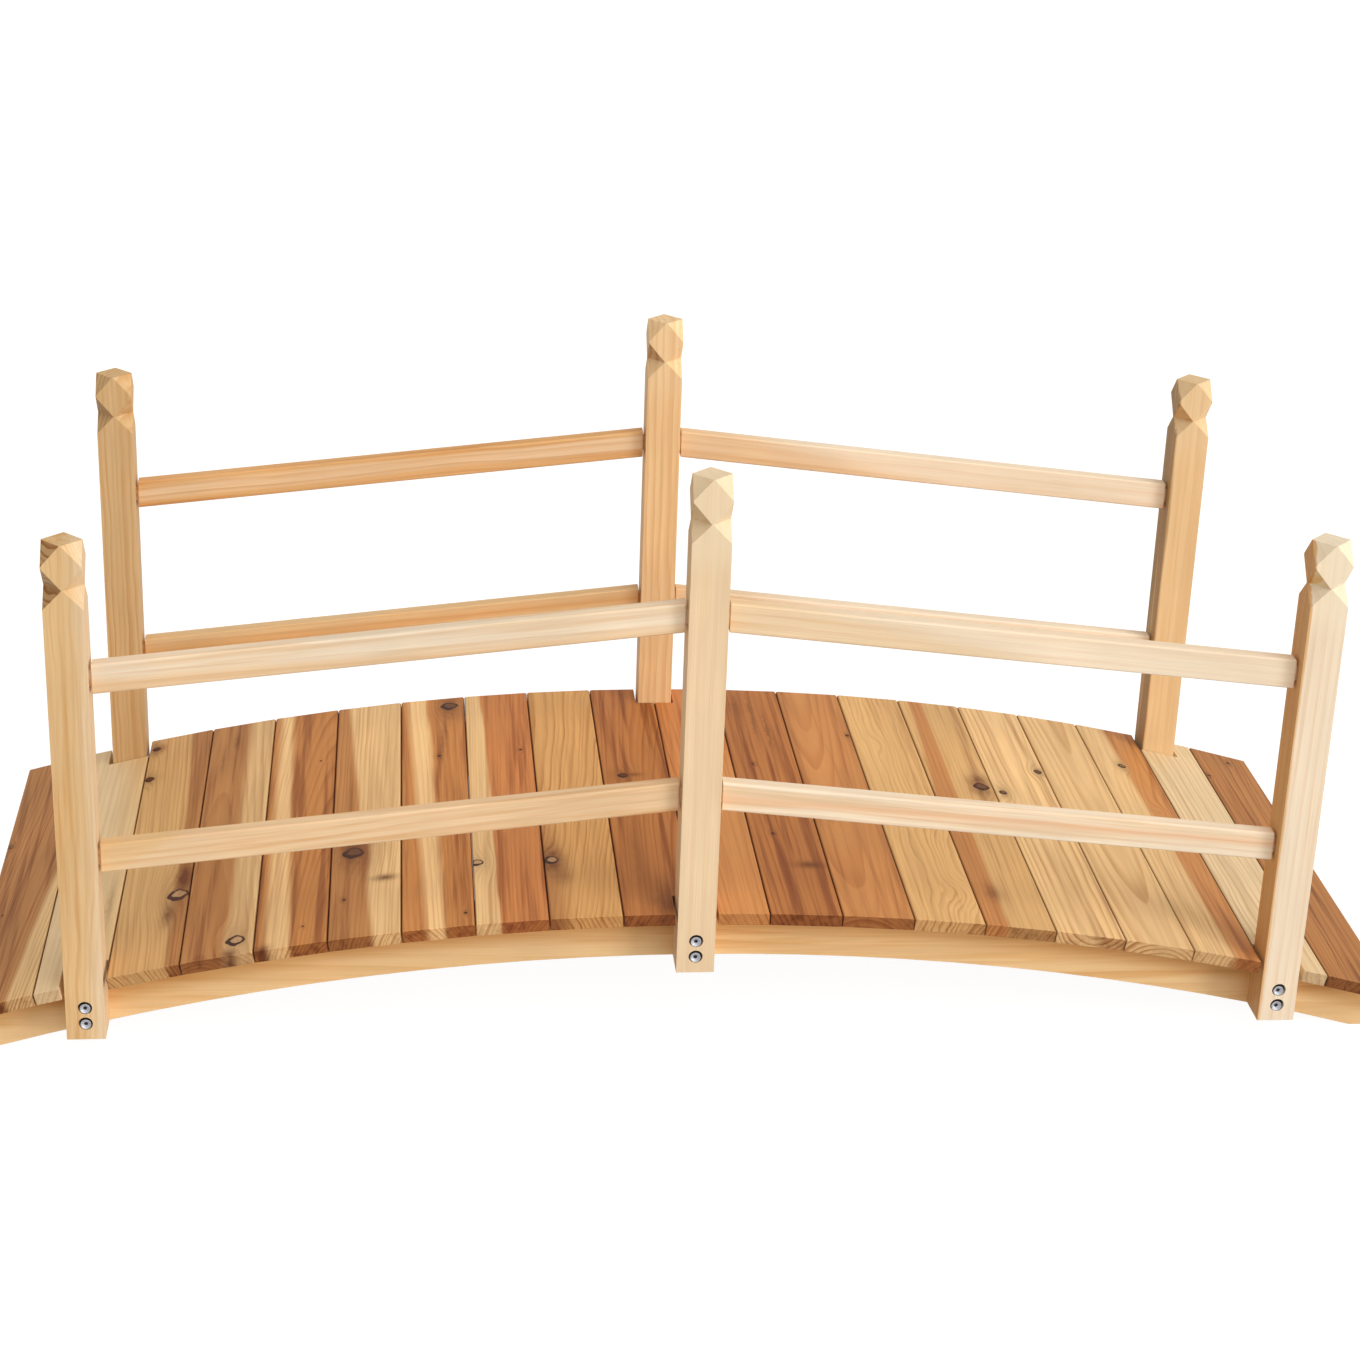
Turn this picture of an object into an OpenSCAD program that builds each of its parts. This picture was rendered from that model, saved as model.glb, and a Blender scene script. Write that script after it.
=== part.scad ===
// Arched wooden garden bridge: two curved stringers, a deck of cross planks, and a railing on each
// side made of three posts with faceted heads and two sloping rails in each bay.
// X runs along the bridge, -Y is the near side, +Z is up, and the feet stand on z = 0.

/* [Deck] */
// Number of planks across the deck
plank_count = 20; // [16:2:24]
// Width of one plank along the bridge
plank_w = 74.4; // [60:0.1:80]
// Gap between neighbouring planks on the stringers
plank_gap = 0.3; // [0.2:0.1:5]
// Length of a plank across the bridge
plank_len = 578; // [450:1:900]
// Thickness of a plank
plank_t = 13; // [10:0.5:20]
// Eased edge on a plank's long upper corners
plank_ease = 1.5; // [0.5:0.1:3]
// Room between a plank's notch and the sides of the post in it
notch_play = 2.5; // [0.5:0.1:5]
// Room between a plank's notch and the inner face of the post in it
notch_back_play = 0.5; // [0.3:0.1:2]

/* [Stringers] */
// Radius of the stringers' upper edge, which carries the planks
arch_radius = 2747; // [2200:1:4500]
// Depth of a stringer between its upper and lower edge
stringer_depth = 55; // [45:1:90]
// Thickness of a stringer across the bridge
stringer_t = 38; // [32:1:60]
// Length by which the last plank's edge reaches past a stringer's end
deck_overhang = 6; // [0:1:30]
// Height cut off the lower edge at each end to make a flat foot
foot_cut = 6; // [4:0.5:20]

/* [Posts] */
// Width of the square posts
post_w = 39; // [34:0.5:60]
// Length of a post from its foot to its top
post_h = 533; // [450:1:800]
// Number of planks from the deck's end to the middle of an end post
post_planks_in = 1.65; // [1.2:0.05:3]
// How far the post's outer face lies inside the plank ends
post_inset = 1.5; // [0:0.1:10]
// Height of the sloped cap, from its widest level to the top
cap_h = 22; // [15:0.5:30]
// Height from the corner notch up to the cap's widest level
notch_upper_h = 23.5; // [15:0.5:30]
// Height from the post's shoulder up to the corner notch
notch_lower_h = 19.5; // [15:0.5:30]
// Width of post face that is left between two corner cuts
facet_neck = 1.2; // [0.6:0.1:4]
// Height of the blunt corner at the cap's widest level
facet_blunt = 1.2; // [0.4:0.1:4]

/* [Rails] */
// Height of a rail, square to its length
rail_h = 31; // [22:0.5:40]
// Thickness of a rail across the bridge
rail_t = 17; // [13:0.5:24]
// Eased edge along a rail
rail_ease = 1.5; // [0.5:0.1:3]
// Height of the upper rail's centre line above the post's foot
upper_rail_z = 389; // [320:1:400]
// Height of the lower rail's centre line above the post's foot
lower_rail_z = 196; // [130:1:240]
// Visible gap between a rail's end and the post
rail_gap = 2.5; // [0.3:0.1:6]
// Height of the tenon on a rail's end
tenon_h = 16; // [10:0.5:20]
// Thickness of the tenon
tenon_t = 9; // [6:0.5:11]
// Depth to which a tenon enters the post
tenon_in = 14; // [8:0.5:15]
// Room around a tenon in its mortise
tenon_play = 0.3; // [0.1:0.05:0.6]

/* [Bolt holes] */
// Height of the lower bolt above the post's foot
bolt_low_z = 18; // [12:0.5:24]
// Distance between the two bolts of a post
bolt_pitch = 18; // [16:0.5:24]
// Diameter of the recess for a bolt head
recess_d = 14.5; // [10:0.5:15]
// Depth of the recess for a bolt head
recess_depth = 7; // [4:0.5:14]
// Diameter of the bolt hole
bolt_d = 8; // [5:0.5:9]
// Depth of the bolt hole in the stringer
bolt_in_stringer = 26; // [15:0.5:30]

/* [Hidden] */
left = -1;
right = 1;
front = -1;
back = 1;
deck_wood = "burlywood";
frame_wood = "wheat";
beam_wood = "tan";
// Arcs this large need many sides to look round
arc_sides = 1440;
// Cutting bodies reach this far past what they cut
cut_over = 5;

// Distance and angle between neighbouring planks, and angle of a given plank's middle, seen from
// the arch's centre
plank_pitch = plank_w + plank_gap;
pitch_angle = plank_pitch / arch_radius * 180 / PI;
function plank_angle(i) = (i - (plank_count + 1) / 2) * pitch_angle;

// Half of the deck's length, at the outer upper corner of the last plank, and of a stringer's
end_angle = plank_angle(plank_count);
deck_end_x = (arch_radius + plank_t) * sin(end_angle) + plank_w / 2 * cos(end_angle);
stringer_end_x = deck_end_x - deck_overhang;

// Height of the arch's centre, which puts the flat feet on the ground
lower_radius = arch_radius - stringer_depth;
arch_z = -sqrt(pow(lower_radius, 2) - pow(stringer_end_x, 2)) - foot_cut;
function lower_edge_z(x) = arch_z + sqrt(pow(lower_radius, 2) - pow(x, 2));

// Places of the posts along and across the bridge, and of the stringers' outer faces against them
post_spacing = deck_end_x - post_planks_in * plank_pitch;
post_places = [-post_spacing, 0, post_spacing];
post_y = plank_len / 2 - post_inset - post_w / 2;
stringer_outer_y = post_y - post_w / 2;

// A post's foot is level with the stringer's lower edge on the post's uphill side
function foot_z(x) = lower_edge_z(max(abs(x) - post_w / 2, 0));

// Levels of the faceted head
wide_z = post_h - cap_h;
notch_z = wide_z - notch_upper_h;
shoulder_z = notch_z - notch_lower_h;

// Rails run straight between the posts' middles and stop short of their faces
rail_fall = foot_z(0) - foot_z(post_spacing);
rail_slope = atan2(rail_fall, post_spacing);
rail_start_x = post_w / 2 + rail_gap;
rail_stop_x = post_spacing - post_w / 2 - rail_gap;
function rail_line_z(x, h) = foot_z(0) + h - rail_fall * x / post_spacing;
bolt_heights = [bolt_low_z, bolt_low_z + bolt_pitch];
rail_heights = [upper_rail_z, lower_rail_z];

function plank_name(i) = str("plank_", i < 10 ? "0" : "", i);

// Turns a profile drawn in X and Z into a board that runs along Y between two places
module board_along_y(y_from, y_to) {
    translate([0, y_to, 0])
        rotate([90, 0, 0])
            linear_extrude(height = y_to - y_from)
                children();
}

// Side view of a stringer: an arched band cut off upright at its ends and flat at its feet
module stringer_profile() {
    intersection() {
        translate([0, arch_z])
            difference() {
                circle(r = arch_radius, $fn = arc_sides);
                circle(r = lower_radius, $fn = arc_sides);
            }
        translate([-stringer_end_x, 0])
            square([2 * stringer_end_x, arch_z + arch_radius + cut_over]);
    }
}

// Bolt holes of one post, drawn along +Y from the post's outer face
module bolt_holes(recess) {
    for (z = bolt_heights)
        translate([0, 0, z])
            rotate([-90, 0, 0]) {
                translate([0, 0, -cut_over])
                    cylinder(d = bolt_d, h = post_w + bolt_in_stringer + cut_over, $fn = 48);
                if (recess)
                    translate([0, 0, -cut_over])
                        cylinder(d = recess_d, h = recess_depth + cut_over, $fn = 48);
            }
}

// Puts children made for a front post at the foot of the post at x on the given side
module at_post(x, side) {
    translate([x, side * (post_y + post_w / 2), foot_z(x)])
        rotate([0, 0, side == back ? 180 : 0])
            children();
}

module stringer(side) {
    middle_y = side * (stringer_outer_y - stringer_t / 2);
    color(beam_wood)
        difference() {
            board_along_y(middle_y - stringer_t / 2, middle_y + stringer_t / 2)
                stringer_profile();
            for (x = post_places)
                at_post(x, side)
                    bolt_holes(recess = false);
        }
}

// Profile of the wood cut from one corner of a post's head, with the distance from the post's
// axis along X and the height along Y
module head_cut_profile() {
    corner_r = post_w / sqrt(2);
    facet_r = (post_w + facet_neck) / 2 / sqrt(2);
    outer_r = corner_r + cut_over;
    polygon([
        [corner_r, shoulder_z],
        [facet_r, notch_z],
        [corner_r, wide_z - facet_blunt / 2],
        [corner_r, wide_z + facet_blunt / 2],
        [facet_r, post_h],
        [facet_r, post_h + cut_over],
        [outer_r, post_h + cut_over],
        [outer_r, shoulder_z]]);
}

// Mortise for one rail, cut into the post's face on the side that the rail comes from
module mortise(toward, h) {
    depth = tenon_in + tenon_play;
    height = tenon_h + 2 * tenon_play;
    width = tenon_t + 2 * tenon_play;
    translate([toward > 0 ? post_w / 2 - depth : -post_w / 2 - cut_over, -width / 2, h - height / 2])
        cube([depth + cut_over, width, height]);
}

// Height above the post's foot at which a rail's centre line meets the post's face
function seat_z(x, toward, h) =
    rail_line_z(abs(x) + (x * toward < 0 ? -post_w / 2 : post_w / 2), h) - foot_z(x);

module post(x, side, rails_toward) {
    color(frame_wood)
        difference() {
            translate([x, side * post_y, foot_z(x)])
                difference() {
                    translate([-post_w / 2, -post_w / 2, 0])
                        cube([post_w, post_w, post_h]);
                    for (corner = [45 : 90 : 315])
                        rotate([90, 0, corner])
                            translate([0, 0, -post_w])
                                linear_extrude(height = 2 * post_w)
                                    head_cut_profile();
                    for (toward = rails_toward, h = rail_heights)
                        mortise(toward, seat_z(x, toward, h));
                }
            at_post(x, side)
                bolt_holes(recess = true);
        }
}

// Cross section of a rail, with its four long edges eased
module rail_profile() {
    half_t = rail_t / 2;
    half_h = rail_h / 2;
    polygon([
        [half_t - rail_ease, -half_h], [half_t, -half_h + rail_ease],
        [half_t, half_h - rail_ease], [half_t - rail_ease, half_h],
        [-half_t + rail_ease, half_h], [-half_t, half_h - rail_ease],
        [-half_t, -half_h + rail_ease], [-half_t + rail_ease, -half_h]]);
}

// Tenon that reaches from inside a rail's end into the post, from x_from to x_to at height z
module tenon(x_from, x_to, z) {
    translate([x_from, -tenon_t / 2, z - tenon_h / 2])
        cube([x_to - x_from, tenon_t, tenon_h]);
}

// A rail of the right-hand bay, at h above the posts' feet and on the railing's own line
module rail_bar(h) {
    root = tenon_in;
    far_face_x = post_spacing - post_w / 2;
    intersection() {
        translate([0, 0, rail_line_z(0, h)])
            rotate([0, 90 + rail_slope, 0])
                rotate([0, 0, 90])
                    linear_extrude(height = post_spacing / cos(rail_slope))
                        rail_profile();
        translate([rail_start_x, -rail_t, 0])
            cube([rail_stop_x - rail_start_x, 2 * rail_t, foot_z(0) + post_h]);
    }
    tenon(post_w / 2 - tenon_in, rail_start_x + root, rail_line_z(post_w / 2, h));
    tenon(rail_stop_x - root, far_face_x + tenon_in, rail_line_z(far_face_x, h));
}

module rail(bay, side, h) {
    color(frame_wood)
        translate([0, side * post_y, 0])
            mirror([bay == left ? 1 : 0, 0, 0])
                rail_bar(h);
}

// End view of a plank, with its two long upper corners eased and its underside on the X axis
module plank_profile() {
    half_w = plank_w / 2;
    polygon([
        [-half_w, 0], [half_w, 0],
        [half_w, plank_t - plank_ease], [half_w - plank_ease, plank_t],
        [-half_w + plank_ease, plank_t], [-half_w, plank_t - plank_ease]]);
}

// Place along a plank's own width of the upright line at x, at a height above the plank's underside
function across_plank(i, x, height) =
    (x - (arch_radius + height) * sin(plank_angle(i))) / cos(plank_angle(i));

// Stretch of a plank's width that the post at x needs, from the plank's underside to its top
function room_from(i, x) =
    min([for (height = [0, plank_t]) across_plank(i, x - post_w / 2, height)]) - notch_play;
function room_to(i, x) =
    max([for (height = [0, plank_t]) across_plank(i, x + post_w / 2, height)]) + notch_play;

// Notch that leaves room for the post at x, cut into one end of a plank in the plank's own frame
module post_notch(i, x, side) {
    inner_y = stringer_outer_y - notch_back_play;
    outer_y = plank_len / 2 + cut_over;
    if (room_from(i, x) < plank_w / 2 && room_to(i, x) > -plank_w / 2)
        translate([room_from(i, x), side == back ? inner_y : -outer_y, -cut_over])
            cube([room_to(i, x) - room_from(i, x), outer_y - inner_y, plank_t + 2 * cut_over]);
}

module plank(i) {
    color(deck_wood)
        translate([0, 0, arch_z])
            rotate([0, plank_angle(i), 0])
                translate([0, 0, arch_radius])
                    difference() {
                        board_along_y(-plank_len / 2, plank_len / 2)
                            plank_profile();
                        for (x = post_places, side = [front, back])
                            post_notch(i, x, side);
                    }
}

module front_stringer() { stringer(front); }
module back_stringer() { stringer(back); }

module front_left_post() { post(-post_spacing, front, [right]); }
module front_middle_post() { post(0, front, [left, right]); }
module front_right_post() { post(post_spacing, front, [left]); }
module back_left_post() { post(-post_spacing, back, [right]); }
module back_middle_post() { post(0, back, [left, right]); }
module back_right_post() { post(post_spacing, back, [left]); }

module front_left_upper_rail() { rail(left, front, upper_rail_z); }
module front_left_lower_rail() { rail(left, front, lower_rail_z); }
module front_right_upper_rail() { rail(right, front, upper_rail_z); }
module front_right_lower_rail() { rail(right, front, lower_rail_z); }
module back_left_upper_rail() { rail(left, back, upper_rail_z); }
module back_left_lower_rail() { rail(left, back, lower_rail_z); }
module back_right_upper_rail() { rail(right, back, upper_rail_z); }
module back_right_lower_rail() { rail(right, back, lower_rail_z); }

front_stringer();
back_stringer();
front_left_post();
front_middle_post();
front_right_post();
back_left_post();
back_middle_post();
back_right_post();
front_left_upper_rail();
front_left_lower_rail();
front_right_upper_rail();
front_right_lower_rail();
back_left_upper_rail();
back_left_lower_rail();
back_right_upper_rail();
back_right_lower_rail();
for (i = [1 : plank_count])
    plank(i);
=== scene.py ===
"""Looks of an arched wooden garden bridge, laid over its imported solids.

Each wooden piece is a copy of its solid with sanded edges, in wood whose growth rings run through the
whole board, so that faces, edges and ends agree. Bolt heads sit in the recesses of the posts.
"""
import math
from typing import NamedTuple

import bmesh
import bpy
from mathutils import Matrix, Vector


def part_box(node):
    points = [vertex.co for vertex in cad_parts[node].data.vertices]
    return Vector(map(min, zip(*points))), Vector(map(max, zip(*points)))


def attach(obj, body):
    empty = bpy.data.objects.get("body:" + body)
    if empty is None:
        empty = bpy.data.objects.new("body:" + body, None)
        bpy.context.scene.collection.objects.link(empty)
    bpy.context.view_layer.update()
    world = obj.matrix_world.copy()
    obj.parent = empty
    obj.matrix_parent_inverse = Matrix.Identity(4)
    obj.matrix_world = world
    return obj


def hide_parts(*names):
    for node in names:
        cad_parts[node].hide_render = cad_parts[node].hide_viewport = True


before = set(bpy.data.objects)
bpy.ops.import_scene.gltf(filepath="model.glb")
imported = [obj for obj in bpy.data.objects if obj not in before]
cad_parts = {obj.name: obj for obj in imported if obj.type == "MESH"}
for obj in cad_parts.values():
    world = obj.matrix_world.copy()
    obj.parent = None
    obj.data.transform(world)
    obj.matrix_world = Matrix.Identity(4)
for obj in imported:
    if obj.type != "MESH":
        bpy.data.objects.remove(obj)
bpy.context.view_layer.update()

bl_info = {
    "name": "Arched garden bridge",
    "version": (1, 0, 0),
    "blender": (4, 5, 0),
    "location": "View3D > Sidebar > Bridge",
    "description": "Dresses the solids of an arched wooden garden bridge",
    "category": "Object",
}

MM = 0.001
SIDES = {"front": -1, "back": 1}
PLACES = ("left", "middle", "right")
PLANK_COUNT = sum(name.startswith("plank_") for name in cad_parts)


def shade(name, description, red, green, blue):
    """A colour property, given as display values from 0 to 255."""
    return bpy.props.FloatVectorProperty(
        name=name,
        description=description,
        subtype="COLOR_GAMMA",
        size=3,
        min=0.0,
        max=1.0,
        default=(red / 255, green / 255, blue / 255),
    )


def size(name, description, millimetres):
    """A length property, given in millimetres."""
    return bpy.props.FloatProperty(
        name=name, description=description, default=millimetres * MM, unit="LENGTH", precision=5
    )


def strength(name, description, default):
    """A property for the strength of a light."""
    return bpy.props.FloatProperty(name=name, description=description, default=default)


def angle(name, description, radians):
    """An angle property, given in radians."""
    return bpy.props.FloatProperty(name=name, description=description, subtype="ANGLE", default=radians)


def direction(name, description, *parts):
    """A direction property."""
    return bpy.props.FloatVectorProperty(
        name=name, description=description, subtype="DIRECTION", default=parts
    )


class BridgeWoods(bpy.types.PropertyGroup):
    """Tones of the woods, as the boards look in plain light."""

    straw: shade("Straw", "Sapwood of most deck planks", 235, 195, 139)
    wheat: shade("Wheat", "Sapwood a little more golden than straw", 227, 181, 120)
    cream: shade("Cream", "The palest sapwood of the deck", 234, 205, 160)
    honey: shade("Honey", "Golden sapwood of the deck", 222, 169, 105)
    amber: shade("Amber", "Golden heartwood of the deck", 205, 141, 82)
    brown: shade("Brown", "Brown heartwood of the deck", 190, 133, 78)
    russet: shade("Russet", "Reddish heartwood of the deck", 191, 129, 71)
    orange: shade("Orange", "Orange heartwood of the deck", 204, 133, 75)
    umber: shade("Umber", "The darkest heartwood of the deck", 186, 120, 64)
    white_pine: shade("White pine", "Palest pine of the railing", 249, 228, 200)
    pale_pine: shade("Pale pine", "Pale pine of the railing", 241, 212, 173)
    peach_pine: shade("Peach pine", "Pinkish pine of the railing", 240, 205, 163)
    tan_pine: shade("Tan pine", "Darker pine of the railing", 231, 192, 139)
    gold_pine: shade("Golden pine", "Golden pine of the far railing", 236, 199, 149)
    rust_pine: shade("Rust pine", "Orange bands in the railing", 230, 180, 122)
    blush_pine: shade("Blush pine", "Pinkish bands in the railing", 243, 202, 162)
    # This tone is painted shade: it darkens the left face of the back right post.
    dull_pine: shade("Dull pine", "Duller side of a golden post", 191, 156, 110)
    beam_pine: shade("Beam pine", "Pine of the stringers", 244, 204, 149)
    beam_gold: shade("Beam gold", "Golden bands in the stringers", 239, 197, 140)
    knot_rim: shade("Knot rim", "Dark bark line round a knot", 56, 22, 2)
    knot_heart: shade("Knot heart", "Dark wood inside a knot", 92, 42, 8)
    knot_pale: shade("Pale knot", "Pale wood inside a knot", 214, 170, 122)
    stain: shade("Stain", "Dark smear beside a knot", 108, 56, 20)


class BridgeEdges(bpy.types.PropertyGroup):
    """Radii to which the edges of the boards are sanded."""

    plank: size("Plank edge", "Radius on the edges of a deck plank", 0.5)
    post: size("Post edge", "Radius on the edges of a post", 0.5)
    rail: size("Rail edge", "Radius on the edges of a rail", 0.8)
    stringer: size("Stringer edge", "Radius on the edges of a stringer", 1.2)


class BridgeBolts(bpy.types.PropertyGroup):
    """Sizes of the bolt heads in the posts."""

    # The washer is painted shade: a dark disc that stands for the shade in the recess round the head.
    washer: size("Washer radius", "Radius of the washer under a bolt head", 7.1)
    washer_thickness: size("Washer thickness", "Thickness of the washer under a bolt head", 1.0)
    head: size("Head radius", "Radius of a bolt head", 5.5)
    rim: size("Rim width", "Width and height of the rounded rim of a bolt head", 0.9)
    crest: size("Rim crest", "Distance of the rim's highest line from the side of the head", 0.6)
    bevel: size("Rim bevel", "How far the rim is bevelled beside its highest line", 0.2)
    slope: size("Dish slope", "Distance of the dish's floor from the side of the head", 2.4)
    dish: size("Dish depth", "Depth of the dish in a bolt head", 2.2)
    drop: size("Drop", "How far a bolt head sits below the middle of its recess", 1.6)
    height: size("Head height", "Height of a bolt head from the floor of its recess", 6.0)
    socket: size("Socket radius", "Radius of the key socket at its corners", 2.2)
    socket_depth: size("Socket depth", "Depth of the key socket", 2.0)
    recess: size("Recess depth", "Depth of the recess below the post's face", 7.0)
    low: size("Lower bolt", "Height of the lower bolt above the post's foot", 18.0)
    pitch: size("Bolt pitch", "Distance between the two bolts of a post", 18.0)
    zinc: shade("Zinc", "Colour of the plated face of a bolt head", 188, 190, 198)
    # This colour is painted shade, on the washer, the head's side and the socket, for the shade in the
    # recess.
    dark: shade("Dark steel", "Colour of the washer, the head's side and the key socket", 48, 48, 55)


class BridgeStage(bpy.types.PropertyGroup):
    """Camera, floor and lamps."""

    camera_place: bpy.props.FloatVectorProperty(
        name="Camera place",
        description="Place of the camera",
        subtype="TRANSLATION",
        unit="LENGTH",
        default=(-0.2928, -2.8425, 1.5146),
    )
    yaw: angle("Yaw", "Turn of the view to the right", 0.1039)
    pitch: angle("Pitch", "Tilt of the view upwards", -0.402)
    roll: angle("Roll", "Roll of the camera", 0.0364)
    lens: bpy.props.FloatProperty(
        name="Lens", description="Focal length on a 36 mm frame", default=75.4, unit="CAMERA"
    )
    floor: size("Floor", "Side of the square floor", 24000)
    key: strength("Key lamp", "Strength of the main soft lamp", 1.1)
    key_spread: angle("Key spread", "Angle over which the main lamp spreads", 0.95)
    key_from: direction("Key from", "Direction to the main lamp", 0.35, -0.66, 0.58)
    side: strength("Side lamp", "Strength of the low soft lamp on the right", 1.31)
    side_spread: angle("Side spread", "Angle over which the low lamp spreads", 0.4)
    side_from: direction("Side from", "Direction to the low lamp", 0.8, -0.55, 0.14)
    top: strength("Top lamp", "Strength of the soft lamp overhead", 0.89)
    top_spread: angle("Top spread", "Angle over which the overhead lamp spreads", 1.2)
    top_from: direction("Top from", "Direction to the overhead lamp", 0.1, -0.15, 0.98)
    fill: strength("Fill", "Strength of the light from all round", 0.34)
    fill_tone: shade("Fill tone", "Colour of the light from all round", 255, 248, 238)


def linear(display):
    """A display colour as the linear colour that a shader socket takes."""
    return tuple(
        value / 12.92 if value <= 0.04045 else ((value + 0.055) / 1.055) ** 2.4 for value in display
    ) + (1.0,)


def tone(name):
    """One of the wood colours, ready for a socket."""
    return linear(getattr(bpy.context.scene.bridge_woods, name))


class Socket:
    """An output of a node in a finish. Arithmetic on it adds Math nodes."""

    def __init__(self, finish, output):
        self.finish = finish
        self.output = output

    def math(self, operation, *others):
        return self.finish.math(operation, self, *others)

    def __add__(self, other):
        return self.math("ADD", other)

    def __sub__(self, other):
        return self.math("SUBTRACT", other)

    def __rsub__(self, other):
        return self.finish.math("SUBTRACT", other, self)

    def __mul__(self, other):
        return self.math("MULTIPLY", other)

    def __truediv__(self, other):
        return self.math("DIVIDE", other)

    def __abs__(self):
        return self.math("ABSOLUTE")


class Finish:
    """The node tree of a material or a world in the making."""

    def __init__(self, holder):
        holder.use_nodes = True
        self.holder = holder
        self.tree = holder.node_tree
        self.tree.nodes.clear()

    def node(self, kind, settings=None, sockets=None, output=0):
        """Adds a node, sets it up, fills its sockets and returns one of its outputs."""
        made = self.tree.nodes.new(kind)
        for name, value in (settings or {}).items():
            setattr(made, name, value)
        for key, value in (sockets or {}).items():
            if isinstance(value, Socket):
                self.tree.links.new(value.output, made.inputs[key])
            else:
                made.inputs[key].default_value = value
        return Socket(self, made.outputs[output])

    def math(self, operation, *values):
        return self.node("ShaderNodeMath", {"operation": operation}, dict(enumerate(values)))

    def mix(self, share, first, second, blend="MIX"):
        """A colour between two others."""
        settings = {"data_type": "RGBA", "blend_type": blend}
        return self.node("ShaderNodeMix", settings, {0: share, 6: first, 7: second}, 2)

    def tinted(self, colour, tint):
        return self.mix(1.0, colour, tint, "MULTIPLY")

    def rise(self, value, low, high):
        """A smooth step from 0 at low to 1 at high."""
        return self.node(
            "ShaderNodeMapRange",
            {"interpolation_type": "SMOOTHSTEP"},
            {"Value": value, "From Min": low, "From Max": high},
        )

    def vector(self, operation, first, second):
        return self.node("ShaderNodeVectorMath", {"operation": operation}, {0: first, 1: second})

    def scaled(self, colour, factor):
        """A colour made lighter or darker by a factor."""
        return self.node("ShaderNodeVectorMath", {"operation": "SCALE"}, {0: colour, "Scale": factor})

    def noise(self, place, stretch, scale, detail=2.0, roughness=0.5, output=0):
        """Noise drawn out along the board by a stretch below 1."""
        drawn = self.vector("MULTIPLY", place, (1, stretch, 1))
        return self.node(
            "ShaderNodeTexNoise",
            {"noise_dimensions": "3D"},
            {"Vector": drawn, "Scale": scale, "Detail": detail, "Roughness": roughness},
            output,
        )

    def parts(self, vector):
        """The three parts of a vector."""
        split = self.node("ShaderNodeSeparateXYZ", {}, {0: vector}).output.node
        return [Socket(self, output) for output in split.outputs]

    def done(self, shader, kind="ShaderNodeOutputMaterial"):
        """Joins a shader to the output and returns what the tree belongs to."""
        out = self.tree.nodes.new(kind)
        self.tree.links.new(shader.output, out.inputs["Surface"])
        return self.holder


class Knot(NamedTuple):
    """A knot, by its place across and along the board and its radius, in millimetres.

    The heart share tells how pale it is inside, and the stain how dark the wood round it is."""

    across: float
    along: float
    radius: float
    heart: float = 0
    stain: float = 0.5


class Smear(NamedTuple):
    """A dark smear, by its place and half its extent across and along the board, in millimetres."""

    across: float
    along: float
    half_across: float
    half_along: float
    strength: float = 0.6


class Crack(NamedTuple):
    """A dark line along the grain, by its place across the board at both ends and its width."""

    near: float
    far: float
    width: float = 0.8
    strength: float = 0.8


class Swirl(NamedTuple):
    """Growth rings that close round a point, by its place, their reach and their number."""

    across: float
    along: float
    reach: float
    rings: float


FAR_LEFT = (-99, -99)
FAR_RIGHT = (99, 99)
# Tints that paint the shade on the left-facing facets of the post heads, dark brown and golden
DARK_FACET_SHADE_TINT = (0.42, 0.28, 0.15, 1)
GOLDEN_FACET_SHADE_TINT = (0.95, 0.75, 0.42, 1)


class Cut(NamedTuple):
    """How a board was cut from its log, in millimetres in the board's own frame.

    The sapwood lies between two lines, each given by its place across the board at the near and at
    the far end, and blends into the heartwood over twice the blend. The pith is given across and
    through the board, leans away by so many millimetres in a metre, and skews sideways likewise.
    Ring is the width of a growth ring. Sway and ripple tell how far the grain wanders over long and over
    short stretches, contrast and streaks how strongly rings and streaks show, and light how light it is.
    Facet shade tells how far the facets that face left and down, and left and up, take on the facet tint,
    which paints their shade, paleness how much paler the sapwood is at the far end, and grime how dark the
    joints are, with grime and painted shade."""

    heart: str
    sap: str
    sap_from: tuple = FAR_LEFT
    sap_to: tuple = FAR_RIGHT
    pith: tuple = (90, -60)
    lean: float = 30
    ring: float = 4.5
    sway: float = 6
    contrast: float = 0.6
    streaks: float = 0.5
    light: float = 1.0
    blend: float = 4
    ripple: float = 3
    skew: float = 0
    facet_shade: tuple = (0, 0)
    facet_shade_tint: tuple = DARK_FACET_SHADE_TINT
    far_paleness: float = 0
    grime_and_shade: float = 0.93
    marks: tuple = ()


class Species(NamedTuple):
    """Tints of late wood, deep and fresh streaks and ends, and how much more rings show at the ends."""

    name: str
    late: tuple
    deep: tuple
    fresh: tuple
    end: tuple
    end_rings: float


class Board(NamedTuple):
    """Where a board lies: its middle, the directions across and along it, its length and its end axis.

    Grime and painted shade darken the joints with other boards, given by the sides they are on, -1 or 1.
    Under a curved upper edge, given by the height of its centre over the middle and its radius, the wood is
    darker, as painted shade."""

    species: Species
    middle: Vector
    across: tuple
    along: tuple
    length: float
    end_axis: int
    half_width: float = 0
    joints: tuple = ()
    arch: tuple = ()

    def turn(self):
        """The turn that lays the board's own axes on its directions."""
        across = Vector(self.across)
        along = Vector(self.along)
        return Matrix((across, along, across.cross(along))).transposed().to_euler()


class Spot(NamedTuple):
    """Sockets that tell where on a board a point lies, which way it faces and what the noises are there.

    Drift and wave bend the grain over long and short stretches, fibre and streak are drawn out along it,
    patch is broad and ragged is fine."""

    across: Socket
    along: Socket
    through: Socket
    share: Socket
    normal: list
    slant: Socket
    end: Socket
    drift: list
    wave: Socket
    fibre: Socket
    streak: Socket
    patch: Socket
    ragged: Socket


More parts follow.
